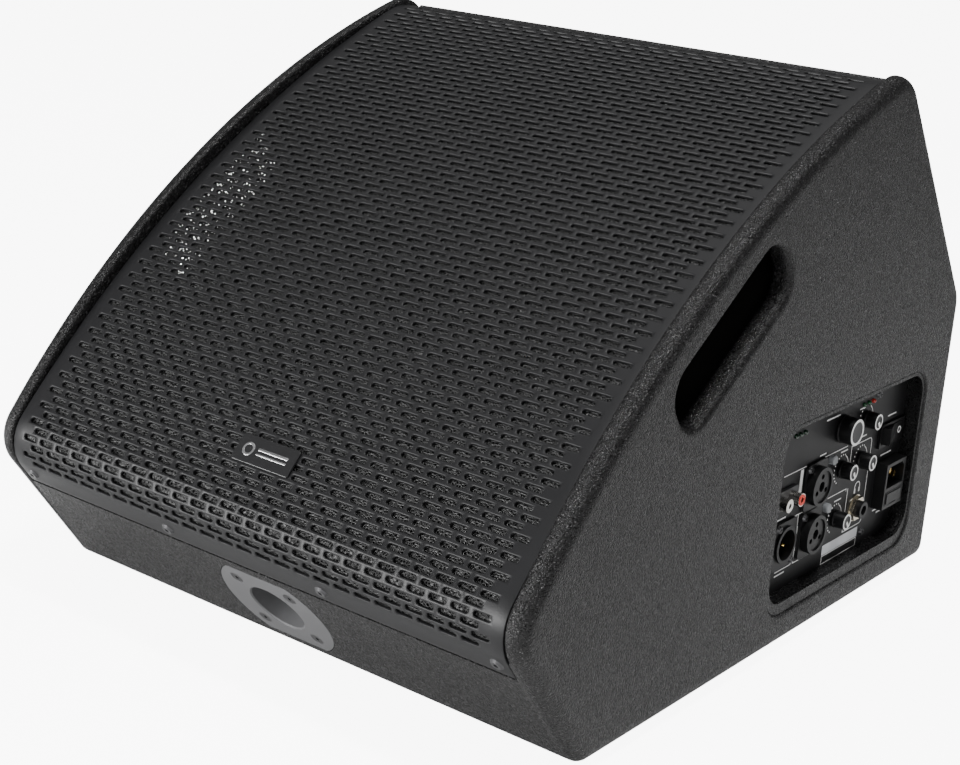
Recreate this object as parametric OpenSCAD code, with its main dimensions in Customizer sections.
// Powered stage monitor wedge with a coaxial driver.
// X is across the cabinet, -Y is the front, +Z is up; the origin is under the middle of the cabinet.

/* [Cabinet] */
// Overall width over the side boards
cab_w = 390; // [380:1:400]
// Thickness of the side boards
side_t = 12; // [11.5:0.5:12.5]
// Thickness of the other outer boards
board_t = 15; // [14:0.5:16]
// Height of the rubber feet
foot_h = 5; // [4:0.5:6]
// Angle of the baffle to the floor
tilt = 37; // [37:37]
// Distance from the frame's origin back to the rear face
back_y = 198; // [197:0.5:199]

/* [Baffle frame] */
// Position of the lower front face along the baffle's slope
front_s = -164.6; // [-165.5:0.1:-164]
// Position of the upper back face along the baffle's slope
rear_s = 268.5; // [268:0.1:269.5]
// Height of the baffle's front surface above the slope's datum
baffle_n = 200; // [199.5:0.1:200.5]
// Thickness of the baffle
baffle_t = 15; // [14:0.5:15]

/* [Grille] */
// Radius of the crest of the side boards
rim_r = 646; // [644:1:648]
// Radius of the grille's outer surface
grille_r = 790; // [788:1:792]
// Thickness of the steel sheet
sheet_t = 1.5; // [1.2:0.1:1.6]
// Width of the grille
grille_w = 364; // [362:1:364]
// Bend radius at the grille's nose
nose_r = 25; // [24:0.5:26]

/* [Handle slots] */
// Length of a handle slot
slot_l = 118; // [110:1:120]
// Height of a handle slot
slot_h = 38; // [34:1:38]
// Slope of a handle slot
slot_a = 35; // [34:0.5:36]

/* [Pole socket] */
// Bore for a loudspeaker pole
pole_bore = 36; // [35.4:0.1:36.6]
// Depth of the pole socket
pole_depth = 65; // [60:1:66]

/* [Control recess] */
// Width of the recess in the side board
recess_w = 185; // [183:1:187]
// Height of the recess in the side board
recess_h = 119; // [117:1:121]

/* [Driver] */
// Outer radius of the driver's flange
driver_r = 155; // [153:1:156]
// Radius of the cone at its outer edge
cone_r = 118; // [116:1:119]
// Radius of the magnet
magnet_r = 78; // [72:1:80]

/* [Controls] */
// Diameter of a small knob
knob_d = 11.5; // [10:0.5:12]
// Height of a small knob above the panel
knob_h = 9; // [8:0.5:10]
// Diameter of the preset knob
preset_d = 18; // [16:0.5:19]
// Diameter of a potentiometer shaft
shaft_d = 6; // [5.8:0.1:6.1]

/* [Hidden] */
$fn = 96;
eps = 0.01;
gap = 0.3;
pilot_gap = 0.05;

half_w = cab_w / 2;
inner_w = half_w - side_t;
rim_c = [26, -378.7];
grille_c = [21, -530.5];
top_r = 38;
rim_top_r = 25;
flange_n = 203.5;
tail_n = 176;
screw_n = 212.5;
grille_screw_x = [-174, -58, 58, 174];
pole_n = 164.4;
plate_r = 38.2;
plate_flat = 31;
pole_screw = 20.1;
driver_s = 52;
port_at = [146, 218];
port_r = 24;
panel_top_n = 211;
foot_at = [145, -150, 150];
plate_t = 2.5;
tail_screw_n = tail_n + 5.5;
grille_screw_r = 1.9;
pole_screw_r = 1.9;
foot_screw_r = 2;
socket_screw_r = 1.45;

// Points of the side outline where two faces meet
function from_slope(s, n) = [s * cos(tilt) - n * sin(tilt), s * sin(tilt) + n * cos(tilt)];
f1 = [front_s / cos(tilt), 0];
b2 = [back_y, 0];
b1 = [back_y, (rear_s - back_y * cos(tilt)) / sin(tilt)];
nose_in = fillet_on_arc(rim_c, rim_r, front_s + nose_r, nose_r);
top_in = fillet_on_arc(rim_c, rim_r, rear_s - rim_top_r, rim_top_r);
nose_c = from_slope(nose_in[0], nose_in[1]);
centre_y = (nose_c[0] - nose_r + back_y) / 2;
// Height of the seam between the two rear boards, at the corner of the cabinet's inside
seam_z = (rear_s - board_t - (back_y - board_t) * cos(tilt)) / sin(tilt);

// Centre of a round of radius r tangent to an arc from inside, at position s
function fillet_on_arc(c, arc_r, s, r) = [s, c[1] + sqrt(pow(arc_r - r, 2) - pow(s - c[0], 2))];
function unit(v) = v / norm(v);

// Material outside a round at the corner b of the path a, b, c
module corner_cut(a, b, c, r) {
  u = unit(a - b);
  v = unit(c - b);
  half = acos(u * v) / 2;
  bis = unit(u + v);
  centre = b + bis * r / sin(half);
  reach = r / tan(half);
  difference() {
    polygon([centre, b + u * reach, b - bis, b + v * reach]);
    translate(centre) circle(r);
  }
}

// Material outside a round at f, between an upright edge and an arc about c; depth moves it inwards
module arc_corner_cut(c, f, r, side, depth = 0) {
  out = unit(f - c);
  reach = r + 8;
  difference() {
    polygon([f, f + [side * (r + 1), 0], f + [side * (r + 1), reach], f + out * reach]);
    translate(f) circle(r - depth);
  }
}

// Side outline of the cabinet, drawn as Y and Z, moved in by a wall
module outline(wall = 0) {
  difference() {
    intersection() {
      translate([-400, wall]) square([400 + back_y - wall, 500]);
      rotate(tilt) {
        translate([front_s + wall, -300]) square([rear_s - front_s - 2 * wall, 700]);
      }
      rotate(tilt) translate(rim_c) circle(rim_r - wall, $fn = 360);
    }
    if (wall == 0) {
      rotate(tilt) {
        arc_corner_cut(rim_c, nose_in, nose_r, -1);
        arc_corner_cut(rim_c, top_in, rim_top_r, 1);
      }
      corner_cut(from_slope(front_s, 200), f1, b2, 12);
      corner_cut(f1, b2, b1, 10);
      corner_cut(b2, b1, from_slope(rear_s, 200), 25);
    }
  }
}

// Boards between the side boards: the outline less its inside
module shell() {
  difference() {
    outline();
    outline(board_t);
  }
}

// Extrude a Y, Z drawing from x0 to x1 in the cabinet's place
module across(x0, x1) {
  translate([x0, -centre_y, foot_h]) rotate([90, 0, 90]) linear_extrude(x1 - x0) children();
}

// Place children on the sloping datum: local Y runs up the slope and local Z points out of the baffle
module on_slope(x = 0, s = 0, n = 0) {
  translate([0, -centre_y, foot_h]) rotate([tilt, 0, 0]) translate([x, s, n]) children();
}

// Place children on the control panel: local X is towards the back, local Y is up, local Z is outwards
module on_panel(at) {
  translate([inner_w, at[0] - centre_y, at[1] + foot_h]) rotate([90, 0, 90]) children();
}

module rounded_square(w, h, r) {
  square([w - 2 * r, h], center = true);
  square([w, h - 2 * r], center = true);
  for (x = [-1, 1], y = [-1, 1]) translate([x * (w / 2 - r), y * (h / 2 - r)]) circle(r);
}

// ---- Cabinet boards ----
slot_at = [-95.3, 210.4];
recess_at = [69.6, 80.7];
recess_r = 18;
panel_t = 1.5;

module slot_outline() {
  translate(slot_at) rotate(slot_a) rounded_square(slot_l, slot_h, 16);
}

module recess_outline() {
  translate(recess_at) rounded_square(recess_w, recess_h, recess_r);
}

module side_panel_left() {
  color("#1c1c1d") across(-half_w, -inner_w) difference() {
    outline();
    slot_outline();
  }
}

module side_panel_right() {
  color("#1c1c1d") across(inner_w, half_w) difference() {
    outline();
    slot_outline();
    recess_outline();
  }
}

module bottom_panel() {
  color("#1c1c1d") difference() {
    across(-inner_w, inner_w) difference() {
      intersection() {
        shell();
        translate([-300, -1]) square([600, board_t + 1]);
      }
      front_strip();
    }
    for (p = foot_places()) {
      translate([p[0], p[1] - centre_y, foot_h - 1]) cylinder(h = 12, r = foot_screw_r + pilot_gap);
    }
  }
}

// The lower front board's share of the outline
module front_strip() {
  rotate(tilt) translate([front_s - 1, -300]) square([board_t + 1, 700]);
}

module front_panel() {
  color("#1c1c1d") difference() {
    across(-inner_w, inner_w) difference() {
      intersection() {
        shell();
        front_strip();
        rotate(tilt) translate([-300, -300]) square([600, 300 + 218]);
      }
      rotate(tilt) translate([front_s - 1, flange_n - 1.5]) square([1 + sheet_t, 40]);
    }
    // Hole and seat for the pole socket
    on_slope(0, front_s - 1, pole_n) rotate([-90, 0, 0]) {
      cylinder(h = 30, r = 20.5);
      linear_extrude(plate_t + 1) plate_outline(0.4);
      for (x = [-1, 1], y = [-1, 1]) translate([x * pole_screw, y * pole_screw, 0]) {
        cylinder(h = 15, r = pole_screw_r + pilot_gap);
      }
    }
    for (x = grille_screw_x) {
      on_slope(x, front_s - 1, screw_n) rotate([-90, 0, 0]) {
        cylinder(h = 12, r = grille_screw_r + pilot_gap);
      }
    }
  }
}

module back_panel() {
  color("#1c1c1d") across(-inner_w, inner_w) difference() {
    intersection() {
      shell();
      translate([back_y - board_t, board_t]) square([board_t + 1, 400]);
    }
    translate([back_y - board_t - 100, seam_z]) square([200, 300]);
  }
}

module upper_back_panel() {
  color("#1c1c1d") difference() {
    across(-inner_w, inner_w) difference() {
      intersection() {
        shell();
        rotate(tilt) intersection() {
          translate([rear_s - board_t, -300]) square([board_t + 1, 300 + panel_top_n]);
          union() {
            grille_section(sheet_t + gap);
            translate([rear_s - board_t - 1, -300]) square([board_t + 2, 300 + tail_n + 10]);
          }
        }
      }
      translate([-300, -1]) square([900, seam_z + 1]);
      rotate(tilt) translate([rear_s - sheet_t, tail_n - 1.5]) square([5, 60]);
    }
    for (x = grille_screw_x) {
      on_slope(x, rear_s + 1, tail_screw_n) rotate([90, 0, 0]) {
        cylinder(h = 12, r = grille_screw_r + pilot_gap);
      }
    }
  }
}

module baffle() {
  length = rear_s - front_s - 2 * board_t;
  color("#2b2622") difference() {
    on_slope(-inner_w, front_s + board_t, baffle_n - baffle_t) cube([2 * inner_w, length, baffle_t]);
    on_slope(0, driver_s, baffle_n - baffle_t - 1) cylinder(h = baffle_t + 2, r = 141);
    for (x = [-1, 1]) on_slope(x * port_at[0], port_at[1], baffle_n - baffle_t - 1) {
      cylinder(h = baffle_t + 2, r = port_r + 2.2);
    }
    for (i = [0:7]) on_slope(0, driver_s, baffle_n - 12) rotate(i * 45 + 22.5) translate([148, 0, 0]) {
      cylinder(h = 13, r = 2.2);
    }
  }
}

module baffle_rails() {
  color("#8a6f4d") {
    for (x = [-1, 1]) {
      on_slope(x > 0 ? 45 : -inner_w + 1, front_s + board_t, baffle_n - baffle_t - 18) {
        cube([inner_w - 46, 18, 18]);
      }
    }
    on_slope(-115, rear_s - board_t - 18, baffle_n - baffle_t - 18) cube([230, 18, 18]);
  }
}

// ---- Grille ----
// Section of the grille's outer surface, moved in by a depth; drawn in the slope's own frame
module grille_section(depth) {
  nose = fillet_on_arc(grille_c, grille_r, front_s + nose_r, nose_r);
  top = fillet_on_arc(grille_c, grille_r, rear_s - top_r, top_r);
  difference() {
    intersection() {
      translate([front_s + depth, 100]) square([rear_s - front_s - 2 * depth, 300]);
      translate(grille_c) circle(grille_r - depth, $fn = 360);
    }
    arc_corner_cut(grille_c, nose, nose_r, -1, depth);
    arc_corner_cut(grille_c, top, top_r, 1, depth);
  }
}

module grille() {
  color("#232325") difference() {
    translate([-grille_w / 2, -centre_y, foot_h]) rotate([90, 0, 90]) linear_extrude(grille_w) rotate(tilt) {
      difference() {
        grille_section(0);
        grille_section(sheet_t);
        translate([-400, 0]) square([500, flange_n]);
        translate([100, 0]) square([400, tail_n]);
      }
    }
    for (x = grille_screw_x) {
      on_slope(x, front_s - 1, screw_n) rotate([-90, 0, 0]) cylinder(h = 4, r = 2);
      on_slope(x, rear_s + 1, tail_screw_n) rotate([90, 0, 0]) cylinder(h = 4, r = 2);
    }
  }
}

module grille_foam() {
  foam_t = 6;
  color("#141414") translate([-grille_w / 2 + 2, -centre_y, foot_h]) rotate([90, 0, 90]) {
    linear_extrude(grille_w - 4) rotate(tilt) difference() {
      grille_section(sheet_t + gap);
      grille_section(sheet_t + gap + foam_t);
      translate([-400, 0]) square([500, 219]);
      translate([100, 0]) square([400, panel_top_n + 3]);
    }
  }
}

// Countersunk grille screw: head flush with the sheet's face
module button_screw(head_r, head_h, shank_r, shank_l) {
  cylinder(h = head_h, r1 = head_r, r2 = head_r * 0.72);
  translate([0, 0, -shank_l]) cylinder(h = shank_l + eps, r = shank_r);
}

module socket_screw(head_r, head_h, shank_r, shank_l, key) {
  difference() {
    button_screw(head_r, head_h, shank_r, shank_l);
    translate([0, 0, head_h * 0.3]) cylinder(h = head_h, r = key, $fn = 6);
  }
}

module grille_screws() {
  color("#111111") for (x = grille_screw_x) {
    on_slope(x, front_s, screw_n) rotate([90, 0, 0]) socket_screw(4.2, 1.3, grille_screw_r, 10, 1.5);
    on_slope(x, rear_s, tail_screw_n) rotate([-90, 0, 0]) socket_screw(4.2, 1.3, grille_screw_r, 10, 1.5);
  }
}

module badge() {
  badge_s = -118;
  badge_n = grille_c[1] + sqrt(pow(grille_r, 2) - pow(badge_s - grille_c[0], 2));
  lean = asin((badge_s - grille_c[0]) / grille_r);
  color("#2a2a2c") on_slope(0, badge_s, badge_n) rotate([-lean, 0, 0]) {
    translate([0, 0, 2 * eps]) linear_extrude(1.4) rounded_square(42, 16.5, 1);
  }
}

// ---- Ports, pole socket, feet ----
module port_tubes() {
  color("#161616") for (x = [-1, 1]) {
    on_slope(x * port_at[0], port_at[1], baffle_n) difference() {
      union() {
        translate([0, 0, -90]) cylinder(h = 90, r = port_r + 2);
        cylinder(h = 2.5, r = port_r + 5);
      }
      translate([0, 0, -91]) cylinder(h = 95, r = port_r);
    }
  }
}

module plate_outline(extra = 0) {
  intersection() {
    circle(plate_r + extra);
    square([200, 2 * (plate_flat + extra)], center = true);
  }
}

module pole_socket() {
  r = pole_bore / 2;
  color("#6c6c6e") on_slope(0, front_s, pole_n) rotate([-90, 0, 0]) difference() {
    union() {
      linear_extrude(plate_t) plate_outline();
      cylinder(h = pole_depth + plate_t, r = r + 2);
    }
    translate([0, 0, -1]) cylinder(h = pole_depth + 1, r = r);
    translate([0, 0, -eps]) cylinder(h = 0.8, r1 = r + 0.8, r2 = r);
    for (x = [-1, 1], y = [-1, 1]) translate([x * pole_screw, y * pole_screw, 0]) {
      translate([0, 0, -1]) cylinder(h = 5, r = 2.2);
      translate([0, 0, -eps]) cylinder(h = 2, r1 = 4.4, r2 = 2.4);
    }
  }
}

module pole_socket_screws() {
  color("#3a3a3c") on_slope(0, front_s, pole_n) rotate([-90, 0, 0]) {
    for (x = [-1, 1], y = [-1, 1]) translate([x * pole_screw, y * pole_screw, 0.1]) difference() {
      union() {
        cylinder(h = 1.9, r1 = 4.2, r2 = 2.2);
        cylinder(h = 12, r = pole_screw_r);
      }
      translate([0, 0, -0.5]) cylinder(h = 1.8, r = 1.3, $fn = 6);
    }
  }
}

function foot_places() = [for (x = [-1, 1], y = [foot_at[1], foot_at[2]]) [x * foot_at[0], y]];

module rubber_feet() {
  color("#101010") for (p = foot_places()) translate([p[0], p[1] - centre_y, 0]) difference() {
    cylinder(h = foot_h, r1 = 17.5, r2 = 19);
    translate([0, 0, -1]) cylinder(h = 4, r = 6);
    cylinder(h = 20, r = 2.3);
  }
}

module foot_screws() {
  color("#8b8b8b") for (p = foot_places()) translate([p[0], p[1] - centre_y, 0]) {
    translate([0, 0, 1.2]) cylinder(h = 1.8, r = 4.5);
    translate([0, 0, 1.2]) cylinder(h = foot_h + 8, r = foot_screw_r);
  }
}

module wadding() {
  size = [276, 20, 130];
  color("#d8d6cf") translate([-170, back_y - board_t - size[1] - 0.5 - centre_y, foot_h + board_t + 4]) {
    cube(size);
  }
}

// ---- Control recess and panel ----
module recess_frame() {
  wall = 2.2;
  floor_rise = 4.8;
  color("#202021") across(inner_w + 0.02, half_w - 1.2) difference() {
    recess_outline();
    translate(recess_at + [0, floor_rise / 2]) {
      rounded_square(recess_w - 2 * wall, recess_h - 2 * wall - floor_rise, recess_r - wall);
    }
  }
}

// Places of the controls on the panel: Y and height
led_y = [10.7, 16, 22, 98.2, 104.4, 110.7];
led_z = 126.6;
preset_at = [71.5, 117.2];
level_at = [104, 116];
headphone_at = [103.3, 89];
volume_a_at = [77.8, 89];
volume_b_at = [77.2, 56.4];
small_knobs = [level_at, headphone_at, volume_a_at, volume_b_at];
button_a_at = [61.5, 99.5];
button_b_at = [61.5, 68];
combo_a_at = [41.5, 88.5];
combo_b_at = [41.5, 57.5];
xlr_at = [9.8, 58.8];
phono_at = [[-3.6, 89], [11, 89]];
jack_at = [103.5, 56.5];
rocker_at = [141.5, 98.7];
inlet_at = [142.5, 65];
panel_screw_at = [[118.5, 128.9], [118.5, 35.8], [-12, 127], [-12, 40]];
shaft_r = shaft_d / 2;
// Diagonal offset of a socket's two flange screws
flange_screw = [9.5, -12];

function socket_screw_places() =
  [for (c = [combo_a_at, combo_b_at, xlr_at], side = [-1, 1]) c + side * flange_screw];

module panel_hole(at, r) {
  translate([at[0], at[1]]) circle(r);
}

module panel_slot(at, w, h) {
  translate([at[0], at[1]]) square([w, h], center = true);
}

module control_panel() {
  color("#2b2b2d") on_panel([0, 0]) translate([0, 0, -panel_t]) linear_extrude(panel_t) difference() {
    translate(recess_at) square([recess_w + 12, recess_h + 4], center = true);
    for (k = small_knobs) panel_hole(k, shaft_r + gap);
    panel_hole(preset_at, shaft_r + gap);
    for (b = [button_a_at, button_b_at]) panel_hole(b, 3.1 + gap);
    for (c = [combo_a_at, combo_b_at]) panel_hole(c, 12.2);
    for (p = socket_screw_places()) panel_hole(p, socket_screw_r + 0.15);
    panel_hole(xlr_at, 11.7);
    for (p = phono_at) panel_hole(p, 4.4);
    panel_hole(jack_at, 5.8);
    for (y = led_y) panel_hole([y, led_z], 1.55);
    panel_slot(rocker_at, 31, 13.7);
    panel_slot(inlet_at, 24.8, 29.2);
    for (s = panel_screw_at) panel_hole(s, 1.7);
  }
}

module cross_screw(head_r, head_h, shank_r, shank_l) {
  difference() {
    union() {
      cylinder(h = head_h, r1 = head_r, r2 = head_r * 0.7);
      translate([0, 0, -shank_l]) cylinder(h = shank_l + eps, r = shank_r);
    }
    for (a = [0, 90]) rotate(a) translate([-head_r * 0.55, -0.35, head_h * 0.35]) {
      cube([head_r * 1.1, 0.7, head_h]);
    }
  }
}

module panel_screws() {
  color("#1a1a1a") for (s = panel_screw_at) on_panel(s) cross_screw(2.7, 1.5, 1.5, 9);
}

chassis_x = 118;
chassis_y = [-24, 164];
chassis_z = [21, 141];

module amp_chassis() {
  wall = 1.5;
  lo = [chassis_x, chassis_y[0] - centre_y, chassis_z[0] + foot_h];
  size = [inner_w - panel_t - chassis_x, chassis_y[1] - chassis_y[0], chassis_z[1] - chassis_z[0]];
  color("#9a9da0") difference() {
    translate(lo) cube(size);
    translate(lo + [wall, wall, wall]) cube(size - [0, 2 * wall, 2 * wall]);
  }
}

module heatsink() {
  color("#b8babd") translate([chassis_x + 1.5, chassis_y[0] + 14 - centre_y, chassis_z[0] + 14 + foot_h]) {
    cube([4, 70, 90]);
    for (i = [0:9]) translate([0, i * 7.4, 0]) cube([11, 2.6, 90]);
  }
}

// Printed board lying across local X, with a component list of [y, z, radius, height]
module board(size, parts) {
  cube([1.6, size[0], size[1]]);
  for (p = parts) translate([1.6 - eps, p[0], p[1]]) rotate([0, 90, 0]) cylinder(h = p[3], r = p[2]);
}

module amp_board() {
  color("#1e5a34") translate([chassis_x + 14.5, chassis_y[0] + 8 - centre_y, chassis_z[0] + 8 + foot_h]) {
    board([84, 100], [[14, 16, 6, 12], [14, 34, 6, 12], [14, 84, 5, 9], [66, 84, 5, 9], [70, 14, 4, 8]]);
    translate([1.6 - eps, 34, 38]) cube([4, 18, 24]);
  }
}

module power_supply_board() {
  color("#8a6a2e") translate([chassis_x + 5, chassis_y[0] + 100 - centre_y, chassis_z[0] + 8 + foot_h]) {
    board([80, 100], [[14, 16, 9, 16], [36, 16, 9, 16], [64, 84, 6, 10], [64, 66, 6, 10]]);
    translate([1.6 - eps, 20, 46]) cube([18, 28, 30]);
  }
}

module mains_inlet() {
  color("#161617") on_panel(inlet_at) difference() {
    union() {
      translate([0, 0, 4]) cube([27.5, 31, 8], center = true);
      translate([0, 0, -12]) cube([24.4, 28.8, 24 + 2 * eps], center = true);
    }
    // Plug cavity with two cut corners
    translate([0, 6, -11]) linear_extrude(20) difference() {
      square([23, 14.5], center = true);
      for (x = [-1, 1]) translate([x * 11.5, 7.25]) rotate(45) square(4.5, center = true);
    }
    // Opening for the fuse drawer
    translate([0, -8.6, -7]) cube([22.6, 9.6, 31], center = true);
  }
}

module inlet_pins() {
  color("#d0c8b0") on_panel(inlet_at) for (p = [[-7, 4.2], [7, 4.2], [0, 8.2]]) {
    translate([p[0] - 1, p[1] - 2, -11]) cube([2, 4, 15]);
  }
}

module fuse_drawer() {
  color("#1a1a1b") on_panel(inlet_at) translate([0, -8.6, 0]) difference() {
    union() {
      translate([0, 0, -6]) cube([22, 9, 28.4], center = true);
      translate([0, 0, 8.2]) cube([20, 7, 1], center = true);
    }
    translate([-9.5, -3, -18]) cube([19, 7.6, 18]);
    translate([0, -4.4, 8]) cube([8, 1.6, 3], center = true);
  }
}

module mains_fuse() {
  color("#cfd6d8") on_panel(inlet_at) translate([-9.3, -8.0, -12]) rotate([0, 90, 0]) {
    cylinder(h = 18.6, r = 2.45);
  }
}

rocker_tilt = 10;
rocker_pivot = -2;

module switch_frame() {
  color("#151516") on_panel(rocker_at) difference() {
    union() {
      translate([0, 0, 1]) cube([33, 15.5, 2], center = true);
      translate([0, 0, -7]) cube([30.8, 13.5, 14 + 2 * eps], center = true);
    }
    translate([0, 0, -3.5]) cube([28.6, 11.8, 15], center = true);
    translate([0, 10, rocker_pivot]) rotate([90, 0, 0]) cylinder(h = 20, r = 1.25);
  }
}

module power_rocker() {
  color("#1b1b1c") on_panel(rocker_at) translate([0, 0, rocker_pivot]) rotate([0, rocker_tilt, 0]) {
    rotate([90, 0, 0]) translate([0, 0, -5.6]) linear_extrude(11.2) {
      polygon([[-12.8, 0.5], [-12.8, 6.5], [0, 4.6], [12.8, 6.5], [12.8, 0.5], [4, -4], [-4, -4]]);
    }
    translate([0, 6.6, 0]) rotate([90, 0, 0]) cylinder(h = 13.2, r = 1.2);
  }
}

module combo_socket(at) {
  color("#171718") on_panel(at) difference() {
    union() {
      linear_extrude(2) rounded_square(26, 30, 3);
      cylinder(h = 7, r = 12.4);
      translate([0, 0, -24]) cylinder(h = 24 + eps, r = 12);
    }
    translate([0, 0, 6]) cylinder(h = 2, r = 10.2);
    translate([0, 0, -20]) cylinder(h = 40, r = 3.25);
    for (a = [90, 210, 330]) rotate(a) translate([6.4, 0, -12]) cylinder(h = 30, r = 1.7);
    for (side = [-1, 1]) translate(side * flange_screw) translate([0, 0, -1]) cylinder(h = 4, r = 1.6);
  }
}

module combo_socket_a() { combo_socket(combo_a_at); }
module combo_socket_b() { combo_socket(combo_b_at); }

module socket_screws() {
  color("#222222") for (p = socket_screw_places()) {
    on_panel(p) translate([0, 0, 2]) cross_screw(2.6, 1.4, socket_screw_r, 6);
  }
}

module xlr_output() {
  color("#171718") on_panel(xlr_at) difference() {
    union() {
      linear_extrude(2) rounded_square(26, 30, 3);
      cylinder(h = 3.5, r = 11.8);
      translate([0, 0, -18]) cylinder(h = 18 + eps, r = 11.5);
    }
    translate([0, 0, -12]) cylinder(h = 20, r = 9.6);
    for (a = [90, 210, 330]) rotate(a) translate([5.6, 0, -16]) cylinder(h = 6, r = 1.2);
    for (side = [-1, 1]) translate(side * flange_screw) translate([0, 0, -1]) cylinder(h = 4, r = 1.6);
  }
}

module xlr_pins() {
  color("#d9a52c") on_panel(xlr_at) for (a = [90, 210, 330]) rotate(a) translate([5.6, 0, -15]) {
    cylinder(h = 13.5, r = 1.15);
    translate([0, 0, 13.5 - eps]) cylinder(h = 1, r1 = 1.15, r2 = 0.6);
  }
}

module phono_sockets() {
  middle = (phono_at[0] + phono_at[1]) / 2;
  color("#c9c9c7") on_panel(middle) difference() {
    union() {
      linear_extrude(2.2) rounded_square(29.5, 12.5, 2);
      for (x = [-7.3, 7.3]) translate([x, 0, -12]) cylinder(h = 21, r = 4.15);
    }
    for (x = [-7.3, 7.3]) translate([x, 0, -8]) cylinder(h = 20, r = 1.65);
  }
}

module headphone_jack() {
  color("#1c1c1c") on_panel(jack_at) difference() {
    union() {
      translate([0, 0, -panel_t - eps]) cylinder(h = 7 + panel_t, r = 5.6);
      translate([0, 0, -14.5 - panel_t]) cube([15, 15, 29], center = true);
    }
    translate([0, 0, -22]) cylinder(h = 40, r = 3.2);
  }
}

module jack_nut() {
  color("#b9b09a") on_panel(jack_at) difference() {
    union() {
      cylinder(h = 0.8, r = 8.8);
      translate([0, 0, 0.8]) cylinder(h = 2.6, r = 8.2, $fn = 6);
    }
    translate([0, 0, -1]) cylinder(h = 8, r = 5.65);
  }
}

module status_lights() {
  color("#2f7f3a") for (y = led_y) on_panel([y, led_z]) {
    translate([0, 0, -6]) cylinder(h = 6.6, r = 1.5);
    translate([0, 0, 0.6]) intersection() {
      sphere(r = 1.5, $fn = 24);
      cylinder(h = 3, r = 2);
    }
  }
}

module potentiometers() {
  color("#7d8186") for (k = [level_at, headphone_at, volume_a_at, volume_b_at, preset_at]) {
    on_panel(k) difference() {
      union() {
        translate([0, 0, -panel_t - 5]) cube([11, 11.5, 7], center = true);
        translate([0, 0, -panel_t - 1.5]) cylinder(h = 1.5, r = 4.6);
      }
      translate([0, 0, -8.5]) cylinder(h = 20, r = shaft_r + 0.05);
    }
  }
}

// Round knob with a skirt, a dished top and its shaft
module knob(at, d, h, dish) {
  color("#121212") on_panel(at) difference() {
    union() {
      translate([0, 0, 0.7]) cylinder(h = 1.2, r = d / 2);
      translate([0, 0, 1.9 - eps]) cylinder(h = h - 1.9, r1 = d / 2 - 0.25, r2 = d / 2 - 0.5);
      translate([0, 0, -8.2]) cylinder(h = 9, r = shaft_r);
    }
    translate([0, 0, h - dish]) cylinder(h = dish + eps, r1 = d / 2 - 2.1, r2 = d / 2 - 1.5);
  }
}

module preset_knob() { knob(preset_at, preset_d, 10.5, 0.8); }
module level_knob() { knob(level_at, knob_d, knob_h, 0.4); }
module headphone_knob() { knob(headphone_at, knob_d, knob_h, 0.4); }
module volume_a_knob() { knob(volume_a_at, knob_d, knob_h, 0.4); }
module volume_b_knob() { knob(volume_b_at, knob_d, knob_h, 0.4); }

module button_switches() {
  color("#2d2d2f") for (b = [button_a_at, button_b_at]) on_panel(b) difference() {
    translate([0, 0, -11.5]) cube([8, 8, 9], center = true);
    translate([0, 0, -13.5]) cylinder(h = 10, r = 2.3);
  }
}

module line_button(at) {
  color("#9b9c9e") on_panel(at) {
    translate([0, 0, -4]) cylinder(h = 7, r = 3.1);
    translate([0, 0, 3 - eps]) cylinder(h = 0.5, r1 = 3.1, r2 = 2.6);
    translate([0, 0, -9]) cylinder(h = 5 + eps, r = 2);
  }
}

module line_button_a() { line_button(button_a_at); }
module line_button_b() { line_button(button_b_at); }

// ---- Coaxial driver, drawn with its flange on the baffle ----
// Depths at which the cone's two suspensions are glued
surround_z = -6.8;
spider_z = -47;

module on_driver() {
  on_slope(0, driver_s, baffle_n) children();
}

module basket() {
  color("#3c3d40") on_driver() difference() {
    rotate_extrude() polygon([
      [driver_r, 4], [driver_r, 0.02], [140.4, 0.02], [140.4, -14], [92, -62], [42, -62], [42, -58],
      [90, -58], [98.5, -49.8], [92, -49.8], [92, spider_z - 0.82], [100.5, spider_z - 0.82],
      [137, -12.6], [137, -8.8], [133.5, -8.8], [133.5, surround_z - 0.02], [137, surround_z - 0.02],
      [137, 0], [133, 0], [133, 4]]);
    for (i = [0:5]) rotate(i * 60) translate([100, -26, -52]) cube([60, 52, 34]);
    for (i = [0:7]) rotate(i * 45 + 22.5) translate([148, 0, -1]) cylinder(h = 8, r = 2.4);
  }
}

module magnet() {
  color("#2a2a2b") on_driver() rotate_extrude() polygon([
    [40, -62.02], [72, -62.02], [72, -68], [magnet_r, -68], [magnet_r, -88], [74, -88], [74, -94],
    [48, -94], [48, -68], [40, -68]]);
}

module pole_piece() {
  color("#8d8f92") on_driver() rotate_extrude() polygon([
    [14, -62], [37.4, -62], [37.4, -94.02], [74, -94.02], [74, -100], [14, -100]]);
}

module voice_coil() {
  color("#b5652d") on_driver() rotate_extrude() polygon([
    [38.1, -38], [38.6, -38], [38.6, -58], [39.5, -58], [39.5, -74], [38.1, -74]]);
}

module spider() {
  color("#c9a455") on_driver() translate([0, 0, spider_z]) rotate_extrude() polygon([
    [38.62, 0], [52, 0], [56, 2], [60, 0], [64, 2], [68, 0], [72, 2], [76, 0], [80, 2], [84, 0], [100, 0],
    [100, -0.8], [84, -0.8], [80, 1.2], [76, -0.8], [72, 1.2], [68, -0.8], [64, 1.2], [60, -0.8],
    [56, 1.2], [52, -0.8], [38.62, -0.8]]);
}

module cone() {
  color("#191919") on_driver() rotate_extrude() polygon([
    [38.62, -42], [cone_r, surround_z - 1.2], [cone_r, surround_z], [38.62, -40.6]]);
}

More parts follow.
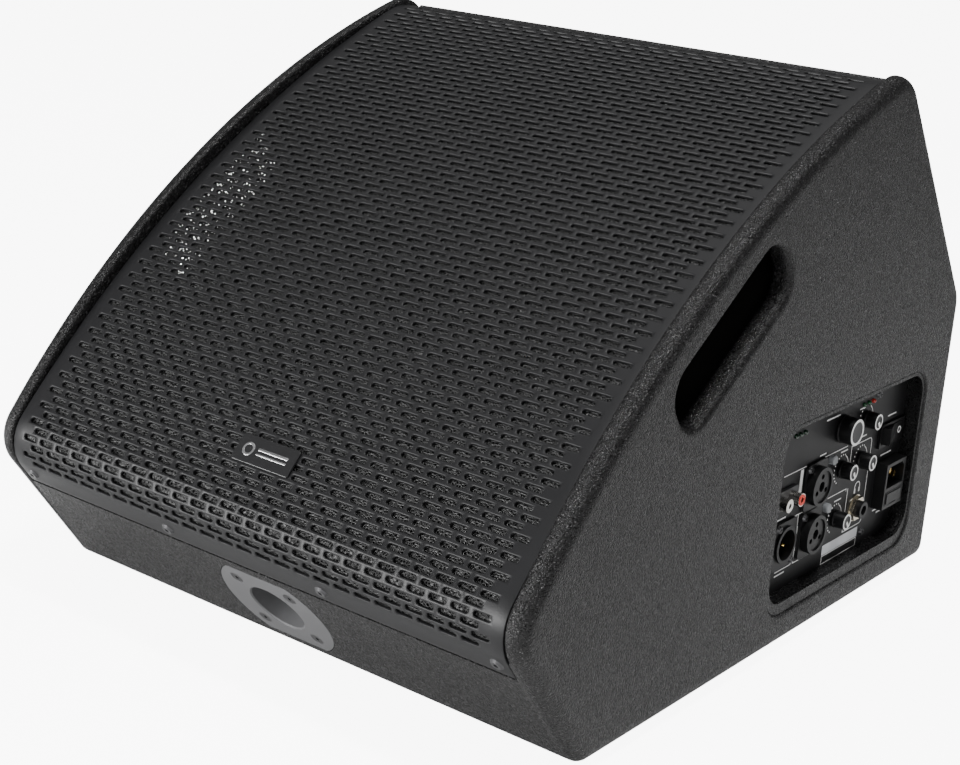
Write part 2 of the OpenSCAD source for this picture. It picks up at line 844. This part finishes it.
module surround() {
  roll = 7;
  color("#0f0f0f") on_driver() translate([0, 0, surround_z]) rotate_extrude() {
    translate([cone_r - 5, 0]) square([6.3, 1]);
    translate([cone_r + roll + 0.5, 0]) difference() {
      circle(roll);
      circle(roll - 1.2);
      translate([-10, -20]) square([20, 20]);
    }
    translate([cone_r + 2 * roll + 0.2, 0]) square([4.7, 1]);
  }
}

module horn() {
  color("#151515") on_driver() rotate_extrude() polygon([
    [14, -61.98], [30, -61.98], [30, -56], [19, -52], [24, -36], [36, -20], [50, -12],
    [49, -10.6], [34, -18.6], [21.6, -35], [14, -54]]);
}

module compression_driver() {
  color("#1d1d1e") on_driver() {
    translate([0, 0, -140]) cylinder(h = 39.98, r = 45);
    translate([0, 0, -146]) cylinder(h = 6.02, r = 38);
    translate([46, -9, -134]) cube([1.5, 18, 8]);
    translate([44, -9, -132]) cube([3, 18, 4]);
  }
}

module woofer_screws() {
  color("#111111") on_driver() for (i = [0:7]) rotate(i * 45 + 22.5) translate([148, 0, 4]) {
    socket_screw(4.4, 2.4, 2.1, 15, 1.6);
  }
}

module crossover_board() {
  color("#2c6b3f") translate([-inner_w + 0.5, 10 - centre_y, 30 + foot_h]) {
    board([100, 80], [[20, 20, 11, 14], [56, 22, 9, 12], [22, 58, 7, 20], [50, 58, 7, 20], [80, 40, 5, 8]]);
  }
}

side_panel_left();
side_panel_right();
bottom_panel();
front_panel();
back_panel();
upper_back_panel();
baffle();
baffle_rails();
grille();
grille_foam();
grille_screws();
badge();
port_tubes();
pole_socket();
pole_socket_screws();
rubber_feet();
foot_screws();
wadding();
recess_frame();
control_panel();
panel_screws();
amp_chassis();
heatsink();
amp_board();
power_supply_board();
mains_inlet();
inlet_pins();
fuse_drawer();
mains_fuse();
switch_frame();
power_rocker();
combo_socket_a();
combo_socket_b();
socket_screws();
xlr_output();
xlr_pins();
phono_sockets();
headphone_jack();
jack_nut();
status_lights();
potentiometers();
preset_knob();
level_knob();
headphone_knob();
volume_a_knob();
volume_b_knob();
button_switches();
line_button_a();
line_button_b();
basket();
magnet();
pole_piece();
voice_coil();
spider();
cone();
surround();
horn();
compression_driver();
woofer_screws();
crossover_board();
